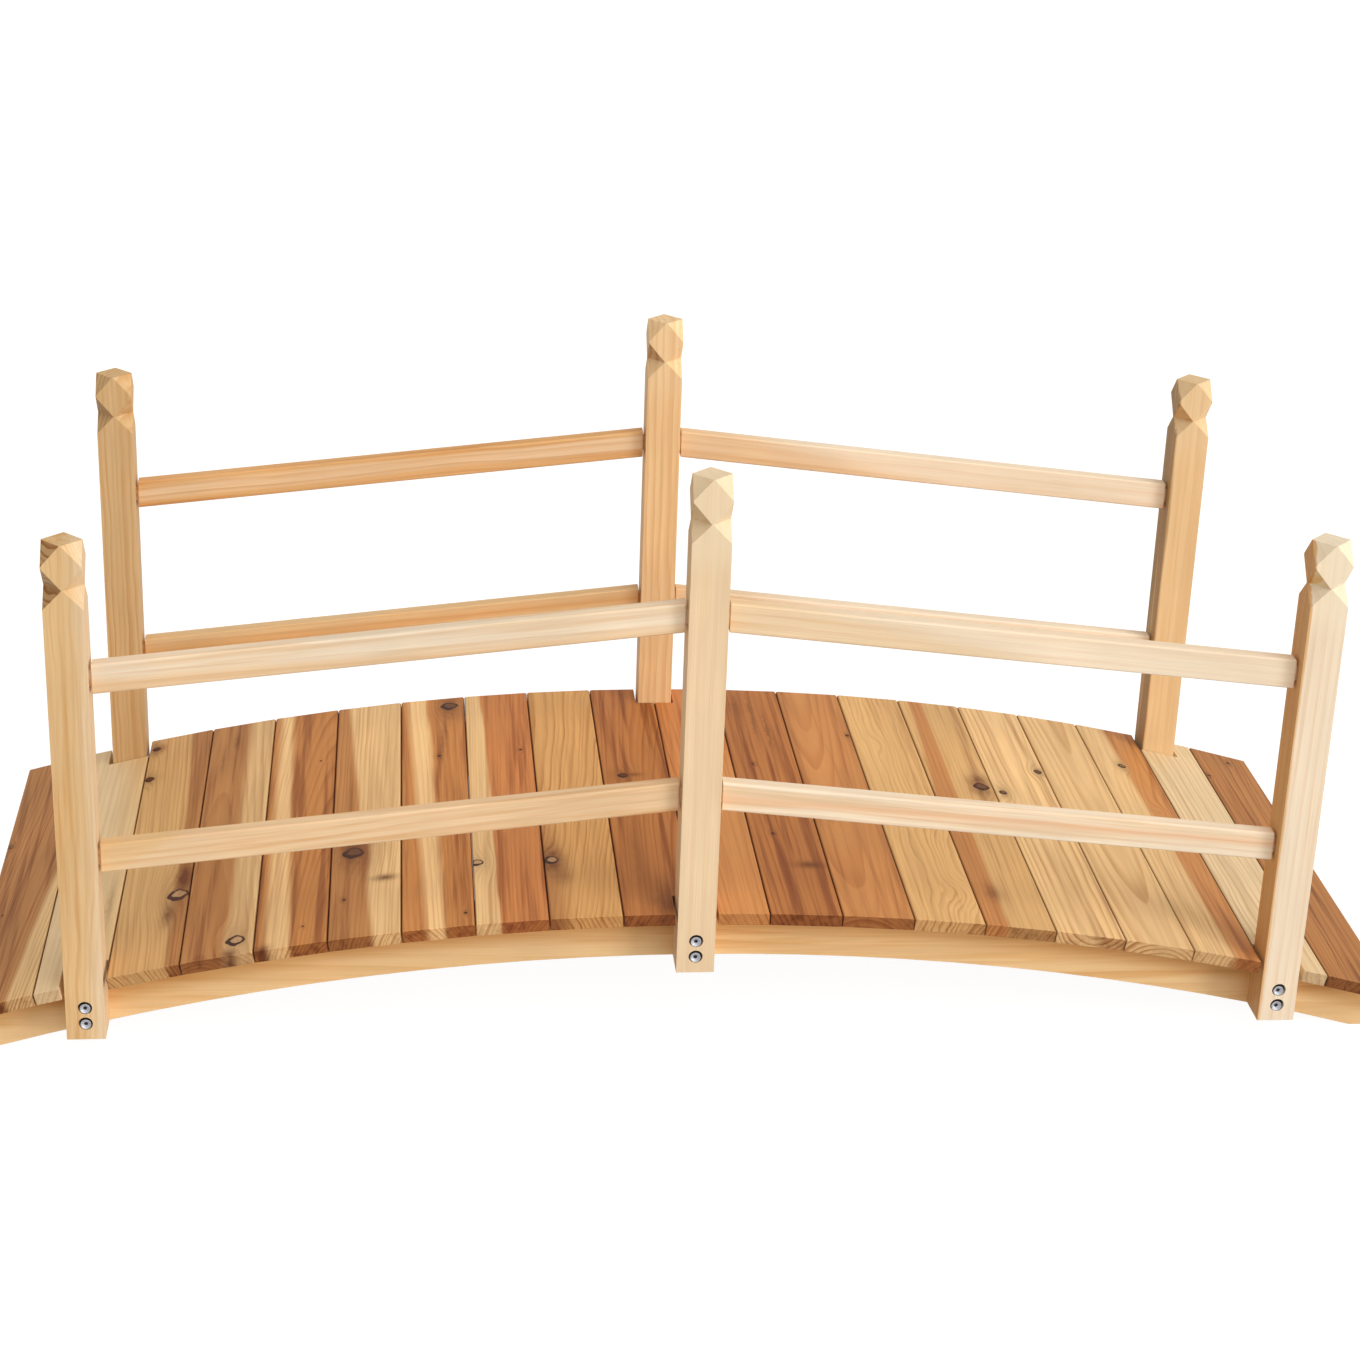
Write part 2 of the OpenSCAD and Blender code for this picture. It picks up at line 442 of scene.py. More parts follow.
ALONG_X = 0
ALONG_Y = 1
ALONG_Z = 2
CEDAR = Species(
    name="cedar",
    late=(0.62, 0.44, 0.29, 1),
    deep=(0.56, 0.43, 0.36, 1),
    fresh=(1.12, 1.16, 1.18, 1),
    end=(0.52, 0.42, 0.35, 1),
    end_rings=1.0,
)
PINE = Species(
    name="pine",
    late=(0.80, 0.60, 0.40, 1),
    deep=(0.88, 0.73, 0.54, 1),
    fresh=(1.04, 1.07, 1.10, 1),
    end=(0.92, 0.94, 0.96, 1),
    end_rings=0.0,
)
WHITE = (1, 1, 1, 1)
# Keeps the noises of one board apart from those of the next
SEED_SPREAD = 4000

# How far round a knot, in its radii, the grain is pushed aside, stained and ringed, and how much
PUSH_REACH = 1.9
PUSH_SHARE = 0.8
HALO_REACH = 1.6
RINGS_REACH = 2.2
KNOT_RINGS = 1.5

# How knots squeeze lengths along the board, and how much longer than wide a swirl is
KNOT_SQUEEZE = 0.42
SWIRL_LENGTH = 1.6

# Where the joints' grime and painted shade, and the painted shade under an arch, begin and are full, in
# millimetres, and where the sapwood turns paler at the far end, as a share of the length
GRIME_AND_SHADE_TINT = (0.22, 0.11, 0.02, 1)
GRIME_AND_SHADE_FROM = 1.3
GRIME_AND_SHADE_FULL = 0.2
SHADE_TINT = (0.70, 0.50, 0.27, 1)
SHADE_TO = 42
SHADE_FULL = 20
SHADE_SHARE = 0.72
FAR_PALE_TINT = (1.0, 0.87, 0.62, 1)
FAR_PALE_FROM = 0.8
FAR_PALE_FULL = 0.88


def bell(first, second):
    """1 at the middle, falling off with the sum of two squares."""
    return ((first * first + second * second) * -1).math("EXPONENT")


def pushed_aside(across, along, marks):
    """The place across the board, with the grain pushed aside round each knot."""
    moved = across
    for mark in marks:
        if isinstance(mark, Knot):
            off = across - mark.across
            reach = mark.radius * PUSH_REACH
            near = bell(off / reach, (along - mark.along) * (KNOT_SQUEEZE / reach))
            moved = moved - off * near * PUSH_SHARE
    return moved


def closed_rings(across, along, marks):
    """Rings to add round knots and swirls, so that the grain closes round them."""
    added = 0
    for mark in marks:
        if isinstance(mark, Knot):
            mark = Swirl(mark.across, mark.along, mark.radius * RINGS_REACH, KNOT_RINGS)
        if isinstance(mark, Swirl):
            lengthwise = (along - mark.along) / (mark.reach * SWIRL_LENGTH)
            near = bell((across - mark.across) / mark.reach, lengthwise)
            added = near * mark.rings + added
    return added


def line_along(spot, near, far):
    """The place across the board of a straight line, from its places at the near and the far end."""
    return spot.share * (far - near) + near


def with_smear(finish, colour, spot, mark):
    """The colour with a dark smear."""
    wide = (spot.across - mark.across + (spot.ragged - 0.5) * 6) / mark.half_across
    long = (spot.along - mark.along) / mark.half_along
    cover = bell(wide, long) * (spot.ragged * 0.8 + 0.6) * mark.strength
    return finish.mix(cover, colour, tone("stain"))


def with_crack(finish, colour, spot, mark):
    """The colour with a dark line along the grain."""
    off = abs(spot.across - line_along(spot, mark.near, mark.far) + (spot.wave - 0.5) * 14)
    cover = finish.rise(off, mark.width, mark.width * 0.3) * (spot.ragged + 0.3) * mark.strength
    return finish.mix(cover, colour, tone("knot_rim"))


def with_knot(finish, colour, spot, mark):
    """The colour with a knot, the stain round it and its bark line."""
    off = spot.across - mark.across
    lengthwise = spot.along - mark.along
    halo_reach = mark.radius * HALO_REACH
    halo = bell(off / halo_reach, lengthwise * (KNOT_SQUEEZE / halo_reach))
    colour = finish.mix(halo * (spot.ragged + 0.4) * mark.stain, colour, tone("stain"))
    round_reach = (off * off + lengthwise * lengthwise).math("SQRT") / mark.radius
    pointed_reach = off * off / mark.radius**2 + abs(lengthwise) / mark.radius
    reach = (round_reach + pointed_reach) * 0.5 + (spot.ragged - 0.5) * 0.9
    inside = finish.mix(mark.heart, tone("knot_heart"), tone("knot_pale"))
    rings = (reach * 2.6).math("FRACT") * -0.35 + 1.1
    colour = finish.mix(finish.rise(reach, 1.0, 0.85), colour, finish.scaled(inside, rings))
    slope = (off * 0.6 + lengthwise * 0.8) / mark.radius
    inner_edge = finish.rise(slope, 0.7, -0.7) * -0.45 + 0.8
    rim = finish.rise(reach - inner_edge, -0.08, 0.08) * finish.rise(reach, 1.2, 1.0)
    return finish.mix(rim, colour, tone("knot_rim"))


MARK_KINDS = {Smear: with_smear, Crack: with_crack, Knot: with_knot}


def spot_on(finish, board):
    """Reads off where on the board a point lies, which way it faces and what the noises are there."""
    place = finish.node("ShaderNodeTexCoord", output="Object")
    local = finish.node(
        "ShaderNodeMapping",
        {"vector_type": "TEXTURE"},
        {"Vector": place, "Location": board.middle, "Rotation": board.turn(), "Scale": (MM, MM, MM)},
    )
    across, along, through = finish.parts(local)
    grain = finish.vector("ADD", local, board.middle * SEED_SPREAD)
    normal = finish.parts(finish.node("ShaderNodeNewGeometry", output="Normal"))
    endways = abs(normal[board.end_axis])
    return Spot(
        across=across,
        along=along,
        through=through,
        share=along / board.length + 0.5,
        normal=normal,
        slant=finish.rise(endways, 0.2, 0.7),
        end=finish.rise(endways, 0.6, 0.9),
        drift=finish.parts(finish.noise(grain, stretch=0.15, scale=0.012, output="Color")),
        wave=finish.noise(grain, stretch=0.25, scale=0.04),
        fibre=finish.noise(grain, stretch=0.014, scale=0.9, detail=3, roughness=0.6),
        streak=finish.noise(grain, stretch=0.03, scale=0.1, detail=3, roughness=0.6),
        patch=finish.noise(grain, stretch=0.4, scale=0.018),
        ragged=finish.noise(grain, stretch=0.6, scale=0.14, detail=3, roughness=0.6),
    )


def swayed_across(spot, cut):
    """The place across the board, with the grain swaying and pushed aside round the knots."""
    moved = pushed_aside(spot.across, spot.along, cut.marks)
    return moved + (spot.drift[0] - 0.5) * (cut.sway * 2) + (spot.wave - 0.5) * cut.ripple


def late_wood(finish, spot, swayed, cut):
    """How far a point lies in the dark late wood of a growth ring round the pith."""
    aside = swayed - cut.pith[0] + spot.along * (cut.skew * MM)
    bent = (spot.drift[1] - 0.5) * (cut.sway * 2)
    above = spot.through - cut.pith[1] + bent + spot.along * (cut.lean * MM)
    radius = (aside * aside + above * above).math("SQRT")
    uneven = finish.node(
        "ShaderNodeTexNoise",
        {"noise_dimensions": "1D"},
        {"W": radius / (cut.ring * 3), "Scale": 1.0, "Detail": 1.0},
    )
    count = radius / cut.ring + uneven * 2.2 + closed_rings(spot.across, spot.along, cut.marks)
    phase = count.math("FRACT")
    number = count.math("FLOOR")
    depth = finish.node("ShaderNodeTexWhiteNoise", {"noise_dimensions": "1D"}, {"W": number})
    late = finish.rise(phase, 0.35, 0.92) * finish.rise(phase, 1.0, 0.94) * (depth * 0.7 + 0.3)
    return late * (finish.rise(spot.patch, 0.35, 0.6) * 0.5 + 0.5)


def sapwood(finish, spot, swayed, cut):
    """How far a point lies in the sapwood, between two lines along the board."""
    placed = swayed + (spot.streak - 0.5) * 8
    left = finish.rise(placed - line_along(spot, *cut.sap_from), -cut.blend, cut.blend)
    right = finish.rise(line_along(spot, *cut.sap_to) - placed, -cut.blend, cut.blend)
    return left * right


def with_grain(finish, colour, spot, late, sap, species, cut):
    """The colour with deep and fresh streaks, late wood, fibres and patches."""
    deep = finish.rise(spot.streak, 0.46, 0.68) * (1 - sap * 0.55) * cut.streaks
    colour = finish.mix(deep, colour, finish.tinted(colour, species.deep))
    fresh = finish.rise(spot.streak, 0.48, 0.3) * cut.streaks * 0.7
    colour = finish.mix(fresh, colour, finish.tinted(colour, species.fresh))
    shown = late * (spot.slant * species.end_rings + 1) * cut.contrast
    colour = finish.mix(shown, colour, finish.tinted(colour, species.late))
    mottle = (spot.fibre - 0.5) * (spot.end * 0.4 + 0.24)
    return finish.scaled(colour, mottle + (spot.patch - 0.5) * 0.3 + cut.light)


def with_marks(finish, colour, spot, marks):
    """The colour with each smear, crack and knot."""
    for mark in marks:
        if type(mark) in MARK_KINDS:
            colour = MARK_KINDS[type(mark)](finish, colour, spot, mark)
    return colour


def with_ends(finish, colour, spot, sap, species, cut):
    """The colour with paler sapwood towards the far end, and with ends that soak up more light than faces.
    """
    if cut.far_paleness:
        pale = finish.rise(spot.share, FAR_PALE_FROM, FAR_PALE_FULL) * sap * cut.far_paleness
        colour = finish.mix(pale, colour, FAR_PALE_TINT)
    return finish.mix(spot.end * (1 - sap * 0.45), colour, finish.tinted(colour, species.end))


def with_facet_shade(finish, colour, spot, late, cut):
    """The colour with painted shade: a tint on the slanted facets that face left."""
    if not any(cut.facet_shade):
        return colour
    facet = finish.rise(spot.normal[0], -0.2, -0.5) * spot.slant * (1 - spot.end)
    facing_down, facing_up = cut.facet_shade
    facet_shade = finish.rise(spot.normal[2], -0.1, 0.1) * (facing_up - facing_down) + facing_down
    cover = facet * (late * 0.8 + 0.5) * facet_shade
    return finish.mix(cover, colour, finish.tinted(colour, cut.facet_shade_tint))


def with_joints(finish, colour, spot, board, grime_and_shade):
    """The colour with grime and painted shade along the joints with other boards."""
    edge = board.half_width
    for side in board.joints:
        dark = finish.rise(spot.across * side, edge - GRIME_AND_SHADE_FROM, edge - GRIME_AND_SHADE_FULL) * grime_and_shade
        colour = finish.mix(dark, colour, finish.tinted(colour, GRIME_AND_SHADE_TINT))
    return colour


def with_shade(finish, colour, spot, arch):
    """The colour with painted shade under a curved upper edge, on which other boards lie."""
    if not arch:
        return colour
    height, reach = arch
    up = spot.across - height
    below = reach - (spot.along * spot.along + up * up).math("SQRT")
    shaded = finish.rise(below, SHADE_TO, SHADE_FULL) * SHADE_SHARE
    return finish.mix(shaded, colour, finish.tinted(colour, SHADE_TINT))


def wood(name, board, cut):
    """Wood with growth rings round a pith line, fibres along the board, and knots."""
    finish = Finish(bpy.data.materials.new(name))
    spot = spot_on(finish, board)
    swayed = swayed_across(spot, cut)
    late = late_wood(finish, spot, swayed, cut)
    sap = sapwood(finish, spot, swayed, cut)
    colour = finish.mix(sap, tone(cut.heart), tone(cut.sap))
    colour = with_grain(finish, colour, spot, late, sap, board.species, cut)
    colour = with_marks(finish, colour, spot, cut.marks)
    colour = with_ends(finish, colour, spot, sap, board.species, cut)
    colour = with_facet_shade(finish, colour, spot, late, cut)
    colour = with_joints(finish, colour, spot, board, cut.grime_and_shade)
    colour = with_shade(finish, colour, spot, board.arch)
    relief = spot.fibre * 0.5 + late * 0.5
    bump = finish.node("ShaderNodeBump", {}, {"Strength": 0.3, "Distance": 0.5 * MM, "Height": relief})
    shader = finish.node(
        "ShaderNodeBsdfPrincipled",
        {},
        {
            "Base Color": colour,
            "Roughness": spot.fibre * 0.16 + spot.end * 0.15 + 0.52,
            "Specular IOR Level": 0.25,
            "Normal": bump,
        },
    )
    return finish.done(shader)


def steel(name, colour, metallic):
    """Steel with a faint mottle."""
    finish = Finish(bpy.data.materials.new(name))
    place = finish.node("ShaderNodeTexCoord", output="Object")
    mottle = finish.noise(place, stretch=1, scale=900)
    shader = finish.node(
        "ShaderNodeBsdfPrincipled",
        {},
        {
            "Base Color": finish.scaled(linear(colour)[:3], mottle * 0.3 + 0.8),
            "Metallic": metallic,
            "Roughness": mottle * 0.2 + 0.3,
        },
    )
    return finish.done(shader)


def new_object(name, data):
    """A new object in the scene."""
    made = bpy.data.objects.new(name, data)
    bpy.context.scene.collection.objects.link(made)
    return made


def new_shape(name, bm, *materials):
    """A new object made of a bmesh."""
    mesh = bpy.data.meshes.new(name)
    bm.to_mesh(mesh)
    bm.free()
    for material in materials:
        mesh.materials.append(material)
    return new_object(name, mesh)


def new_piece(name, bm, *materials):
    """A new object made of a bmesh, which rides on the bridge."""
    piece = new_shape(name, bm, *materials)
    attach(piece, "root")
    return piece


MERGE_DISTANCE = 0.01 * MM
FLAT_ANGLE = math.radians(0.2)
SHARP_ANGLE = math.radians(20)
EDGE_SEGMENTS = 3


def sharp_edges(bm):
    """Edges at which two faces meet at an angle."""
    return [edge for edge in bm.edges if edge.is_manifold and edge.calc_face_angle() > SHARP_ANGLE]


def sanded(node, radius):
    """A copy of a solid with whole flat faces and rounded edges."""
    bm = bmesh.new()
    bm.from_mesh(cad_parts[node].data)
    bmesh.ops.remove_doubles(bm, verts=bm.verts, dist=MERGE_DISTANCE)
    bmesh.ops.dissolve_limit(bm, angle_limit=FLAT_ANGLE, verts=bm.verts, edges=bm.edges)
    bmesh.ops.bevel(
        bm,
        geom=sharp_edges(bm),
        offset=radius,
        offset_type="OFFSET",
        segments=EDGE_SEGMENTS,
        profile=0.5,
        affect="EDGES",
        material=-1,
        clamp_overlap=True,
    )
    for face in bm.faces:
        face.smooth = True
    return bm


def dress(node, radius, board, cut):
    """Replaces a solid by its sanded copy in wood."""
    material = wood(f"{node}_{board.species.name}", board, cut)
    piece = new_piece(node + "_wood", sanded(node, radius), material)
    flatten = piece.modifiers.new("Flat faces", "WEIGHTED_NORMAL")
    flatten.mode = "FACE_AREA"
    flatten.weight = 100
    flatten.keep_sharp = False
    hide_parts(node)


def middle(node):
    """The middle of a solid's box."""
    low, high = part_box(node)
    return (low + high) / 2


def extent(node, axis):
    """The length of a solid's box along an axis."""
    low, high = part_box(node)
    return high[axis] - low[axis]


def plank_node(number):
    return f"plank_{number:02d}"


def arch_middle():
    """Height of the point that the planks are turned about."""
    end = middle(plank_node(PLANK_COUNT))
    top = middle(plank_node(PLANK_COUNT // 2))
    return (end.x**2 + end.z**2 - top.x**2 - top.z**2) / (2 * (end.z - top.z))


def plank_board(number):
    place = middle(plank_node(number))
    tilt = math.atan2(place.x, place.z - arch_middle())
    across = (math.cos(tilt), 0, -math.sin(tilt))
    half_width = extent(plank_node(PLANK_COUNT // 2), 0) / MM / 2
    length = extent(plank_node(number), 1) / MM
    joints = [side for side in (-1, 1) if 1 <= number + side <= PLANK_COUNT]
    return Board(CEDAR, place, across, (0, 1, 0), length, ALONG_Y, half_width, tuple(joints))


def post_board(node):
    return Board(PINE, middle(node), (1, 0, 0), (0, 0, 1), extent(node, 2) / MM, ALONG_Z)


def rail_slope():
    """Slope of the rails, which fall as much as the posts' tops do."""
    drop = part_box("front_middle_post")[1].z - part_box("front_right_post")[1].z
    return math.atan2(drop, middle("front_right_post").x - middle("front_middle_post").x)


def rail_board(node, bay):
    slope = rail_slope() if bay == "left" else -rail_slope()
    across = (-math.sin(slope), 0, math.cos(slope))
    along = (math.cos(slope), 0, math.sin(slope))
    return Board(PINE, middle(node), across, along, extent(node, 0) / MM, ALONG_X)


def stringer_board(node):
    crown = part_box(node)[1].z
    arch = ((arch_middle() - middle(node).z) / MM, (crown - arch_middle()) / MM)
    return Board(PINE, middle(node), (0, 0, 1), (1, 0, 0), extent(node, 0) / MM, ALONG_X, arch=arch)


# From the left end of the deck to the right
PLANK_CUTS = (
    Cut(
        "brown", "straw", sap_from=(8, 60), pith=(120, -70), ring=3.4, sway=7, contrast=1.0, streaks=1,
        light=0.97, skew=-60,
        marks=(Knot(-32, 80, 3, heart=0.4), Knot(-20, -90, 1.5, stain=0.2)),
    ),
    Cut(
        "straw", "cream", sap_to=(20, 30), pith=(110, -90), ring=5, contrast=0.3, streaks=0.3, light=1.04,
        blend=25,
        marks=(Smear(26, -120, 4, 50, strength=0.35),),
    ),
    Cut(
        "brown", "wheat", sap_to=(23, 16), pith=(-95, -50), lean=40, ring=4.2, contrast=0.8, light=0.98,
        marks=(
            Knot(-31, 179, 6), Knot(-29, 262, 5, stain=0.8), Knot(25, -133, 12, heart=1, stain=0.3),
            Smear(30, -95, 9, 34, strength=1.1), Smear(18, -175, 6, 24, strength=0.8),
        ),
    ),
    Cut(
        "brown", "straw", sap_from=(11, 8), pith=(-20, -45), lean=35, ring=5, sway=10, contrast=0.5,
        streaks=0.9, light=1.01, blend=7,
        marks=(
            Knot(18, -259, 10, heart=0.9, stain=0.4), Smear(13, -287, 7, 10, strength=0.9),
            Smear(-6, 240, 3, 20, strength=0.5), Smear(-20, 190, 2, 30, strength=0.4),
        ),
    ),
    Cut(
        "russet", "straw", sap_from=(-28, -30), sap_to=(-3, -16), pith=(50, -50), lean=80, ring=4.2,
        contrast=0.7, streaks=0.9, light=1.17, blend=6,
        marks=(
            Knot(20, 150, 1.5, stain=0.2), Knot(12, -250, 1.5, stain=0.2),
            Smear(-28, -288, 7, 9, strength=0.9),
        ),
    ),
    Cut(
        "brown", "straw", sap_from=(8, -25), pith=(100, -60), lean=25, ring=4.2, sway=5, contrast=0.75,
        streaks=0.7, light=1.13,
        marks=(
            Knot(-14, -98, 12, heart=0.1, stain=0.8), Smear(-12, -82, 16, 8, strength=0.5),
            Smear(20, -164, 12, 7, strength=0.9), Knot(-22, -204, 2),
        ),
    ),
    Cut(
        "russet", "straw", sap_from=(-12, -30), sap_to=(6, -6), pith=(-100, -80), lean=25, ring=4, sway=7,
        contrast=0.7, streaks=0.9, light=1.29, blend=5,
        marks=(
            Knot(19, 265, 10, heart=0.1, stain=0.8), Knot(6, 127, 2.5), Smear(10, 160, 3, 40, strength=0.5),
            Smear(14, 205, 2, 30, strength=0.5), Knot(28, -261, 2),
        ),
    ),
    Cut(
        "orange", "straw", sap_to=(-10, -18), pith=(110, -70), ring=4, sway=5, contrast=0.65, streaks=0.8,
        light=1.12, blend=2,
        marks=(Knot(-33, -151, 7, heart=0.95, stain=0.3), Knot(24, 127, 2, stain=0.3)),
    ),
    Cut(
        "brown", "honey", sap_from=(-18, -44), pith=(-85, -55), lean=35, ring=5, sway=8, contrast=0.95,
        light=1.08, blend=12, ripple=6, skew=-130,
        marks=(Knot(-30, -157, 8, heart=0.7, stain=1.0), Smear(-18, -195, 10, 18, strength=0.4)),
    ),
    Cut(
        "umber", "umber", sap_from=FAR_RIGHT, pith=(70, -60), lean=60, ring=5, sway=8, contrast=0.8,
        streaks=1, light=1.07,
        marks=(
            # The smear at the near end on the right darkens the plank beside the middle post's foot, as
            # painted shade.
            Knot(-15, 46, 6), Smear(-2, 48, 10, 5), Smear(8, -268, 14, 40),
            Smear(-14, -150, 9, 80, strength=0.35),
        ),
    ),
    Cut(
        "orange", "amber", sap_from=(-99, 99), pith=(-80, -60), lean=40, ring=5, streaks=0.7, light=1.17,
        blend=12,
    ),
    Cut(
        "umber", "umber", sap_from=FAR_RIGHT, pith=(-90, -50), ring=6, sway=7, contrast=0.8, streaks=1,
        light=1.04,
        marks=(
            Smear(18, -175, 16, 8, strength=0.9), Knot(-13, -102, 2), Knot(-14, 77, 2),
            Smear(0, 210, 3, 70), Smear(14, 170, 2.5, 60), Smear(-16, 240, 5, 40, strength=0.5),
        ),
    ),
    Cut(
        "amber", "amber", sap_from=FAR_RIGHT, pith=(-15, -40), lean=-45, ring=5.5, contrast=0.55,
        light=1.06,
        marks=(Knot(33, 169, 2.5),),
    ),
    Cut(
        "wheat", "wheat", sap_to=(20, 10), pith=(70, -30), lean=15, ring=5.5, sway=16, contrast=0.62,
        streaks=0.6, light=1.07, blend=12, ripple=16, grime_and_shade=0.7,
        marks=(Swirl(24, -222, 20, 3), Swirl(20, -60, 16, 1.5), Swirl(-10, 150, 16, 1.2)),
    ),
    Cut(
        "wheat", "amber", sap_from=(-50, -25), sap_to=(-15, -10), pith=(100, -60), lean=25, ring=4.6,
        sway=5, streaks=0.7, light=0.98, blend=3, grime_and_shade=0.7,
        marks=(Knot(23, 57, 9, heart=0.1, stain=0.8), Smear(24, 75, 8, 12), Smear(-16, -214, 8, 20)),
    ),
    Cut(
        "straw", "straw", sap_to=(6, 0), pith=(2, 24), lean=8, ring=5, sway=7, contrast=0.75, streaks=0.8,
        light=1.1, blend=8, ripple=5, grime_and_shade=0.7,
        marks=(Knot(-28, 48, 5, heart=0.1), Knot(29, 121, 5, heart=0.1)),
    ),
    Cut("straw", "straw", pith=(8, -32), lean=-28, ring=5.5, contrast=0.75, light=1.05, grime_and_shade=0.7),
    Cut(
        "amber", "straw", sap_to=(8, -8), pith=(60, -50), lean=60, ring=5, sway=14, streaks=0.8, light=1.02,
        blend=6, grime_and_shade=0.7,
        marks=(Knot(-3, 182, 5, heart=0.3), Swirl(18, 60, 12, 2)),
    ),
    Cut(
        "orange", "cream", sap_to=(60, 45), pith=(-80, -40), ring=5.5, sway=12, streaks=0.6, light=0.99,
        ripple=9,
    ),
    Cut(
        "russet", "russet", sap_from=FAR_RIGHT, pith=(80, -70), lean=20, sway=5, contrast=0.8, streaks=1,
        light=0.86,
        marks=(
            Knot(-33, 210, 2.5), Knot(8, 267, 2.5), Crack(-14, 2), Crack(10, 20, width=0.6, strength=0.6),
        ),
    ),
)
POST_CUTS = {
    "front_left": Cut(
        "tan_pine", "pale_pine", sap_from=(8, 8), pith=(40, -30), lean=20, sway=10, contrast=0.5,
        streaks=0.8, light=0.96, blend=12, ripple=13, facet_shade=(1, 1.4),
    ),
    # The heartwood line lies at the left face, which takes the darker tan as painted shade; where the line
    # wanders onto the front, it is heartwood.
    "front_middle": Cut(
        "tan_pine", "pale_pine", sap_from=(-19, -19), pith=(90, -25), lean=6, ring=12, sway=8,
        contrast=0.25, streaks=0.4, light=0.99, blend=1, facet_shade=(1, 0.3), facet_shade_tint=GOLDEN_FACET_SHADE_TINT, far_paleness=0.3,
    ),
    # The heartwood line lies just inside the left face, which takes the darker rust tone as painted shade.
    "front_right": Cut(
        "rust_pine", "white_pine", sap_from=(-17.9, -17.9), pith=(-60, 40), ring=9, sway=1.5, contrast=0.35,
        streaks=0.4, light=0.98, blend=1, facet_shade=(1.3, 0), facet_shade_tint=GOLDEN_FACET_SHADE_TINT, far_paleness=0.4,
    ),
    "back_left": Cut(
        "tan_pine", "tan_pine", pith=(60, 50), lean=15, ring=6, contrast=0.85, streaks=0.9, light=0.87,
        ripple=9, facet_shade=(0.7, 0.5),
    ),
    "back_middle": Cut(
        "gold_pine", "gold_pine", pith=(-70, 10), lean=6, ring=8, sway=9, streaks=0.9, light=1.05, ripple=7,
        facet_shade=(0.8, 0), far_paleness=0.12,
    ),
    # The heartwood line lies at the left face, which takes the dull tone as painted shade; where the line
    # wanders onto the front, it is heartwood.
    "back_right": Cut(
        "dull_pine", "gold_pine", sap_from=(-19, -19), pith=(60, -40), lean=6, ring=8, contrast=0.3,
        light=0.97, blend=1, facet_shade=(1.2, 0), facet_shade_tint=GOLDEN_FACET_SHADE_TINT, far_paleness=0.12,
    ),
}
RAIL_CUTS = {
    "front_left_upper": Cut(
        "white_pine", "peach_pine", sap_to=(-2, -8), pith=(-70, 30), lean=0, ring=9, sway=4, contrast=0.4,
        streaks=0.6, light=0.96, blend=5, skew=12,
    ),
    "front_left_lower": Cut(
        "peach_pine", "gold_pine", sap_from=(-25, 250), pith=(-50, 25), lean=0, ring=8, sway=7,
        contrast=0.4, streaks=0.8, light=0.98, blend=6, skew=-25,
    ),
    "front_right_upper": Cut(
        "pale_pine", "white_pine", sap_from=(30, -50), pith=(-80, 20), lean=0, ring=10, sway=5,
        contrast=0.3, blend=12, skew=10,
    ),
    "front_right_lower": Cut(
        "white_pine", "blush_pine", sap_from=(-9, 0), sap_to=(1, 7), pith=(-60, 25), lean=0, ring=7, sway=8,
        contrast=0.45, streaks=0.6,
    ),
    "back_left_upper": Cut(
        "rust_pine", "peach_pine", sap_from=(-10, -7), sap_to=(3, 10), pith=(-40, 12), lean=0, ring=7,
        sway=14, contrast=0.7, streaks=0.8, blend=3,
    ),
    "back_left_lower": Cut(
        "gold_pine", "rust_pine", sap_from=(-4, 2), sap_to=(5, 12), pith=(-50, 15), lean=0, ring=7, sway=8,
        contrast=0.5, streaks=0.6,
    ),
    "back_right_upper": Cut(
        "peach_pine", "white_pine", sap_from=(30, -60), pith=(-60, 40), lean=0, ring=10, contrast=0.3,
        light=0.98, blend=12,
    ),
    "back_right_lower": Cut(
        "peach_pine", "white_pine", sap_from=(30, -60), pith=(-60, 30), lean=0, ring=10, contrast=0.3,
        light=0.98, blend=12,
    ),
}
STRINGER_CUTS = {
    "front": Cut(
        "beam_pine", "beam_gold", sap_from=(-10, 30), sap_to=(10, 25), pith=(-80, 40), lean=0, ring=13,
        sway=12, contrast=0.5, streaks=0.7, light=1.05, blend=8, skew=25,
    ),
    "back": Cut(
        "beam_pine", "beam_gold", sap_from=(-10, 10), sap_to=(10, 30), pith=(-90, -40), lean=0, ring=13,
        sway=12, contrast=0.5, streaks=0.7, light=0.98, blend=8, skew=-20,
    ),
}


class BRIDGE_OT_planks(bpy.types.Operator):
    """Lays the deck planks"""

    bl_idname = "bridge.planks"
    bl_label = "Planks"

    def execute(self, context):
        edge = context.scene.bridge_edges.plank
        for number, cut in enumerate(PLANK_CUTS, start=1):
            node = plank_node(number)
            dress(node, edge, plank_board(number), cut)
        return {"FINISHED"}


class BRIDGE_OT_posts(bpy.types.Operator):
    """Stands the six posts with their faceted heads"""

    bl_idname = "bridge.posts"
    bl_label = "Posts"

    def execute(self, context):
        edge = context.scene.bridge_edges.post
        for place, cut in POST_CUTS.items():
            node = place + "_post"
            dress(node, edge, post_board(node), cut)
        return {"FINISHED"}


class BRIDGE_OT_rails(bpy.types.Operator):
    """Sets the eight rails between the posts"""

    bl_idname = "bridge.rails"
    bl_label = "Rails"

    def execute(self, context):
        edge = context.scene.bridge_edges.rail
        for place, cut in RAIL_CUTS.items():
            node = place + "_rail"
            bay = place.split("_")[1]
            dress(node, edge, rail_board(node, bay), cut)
        return {"FINISHED"}


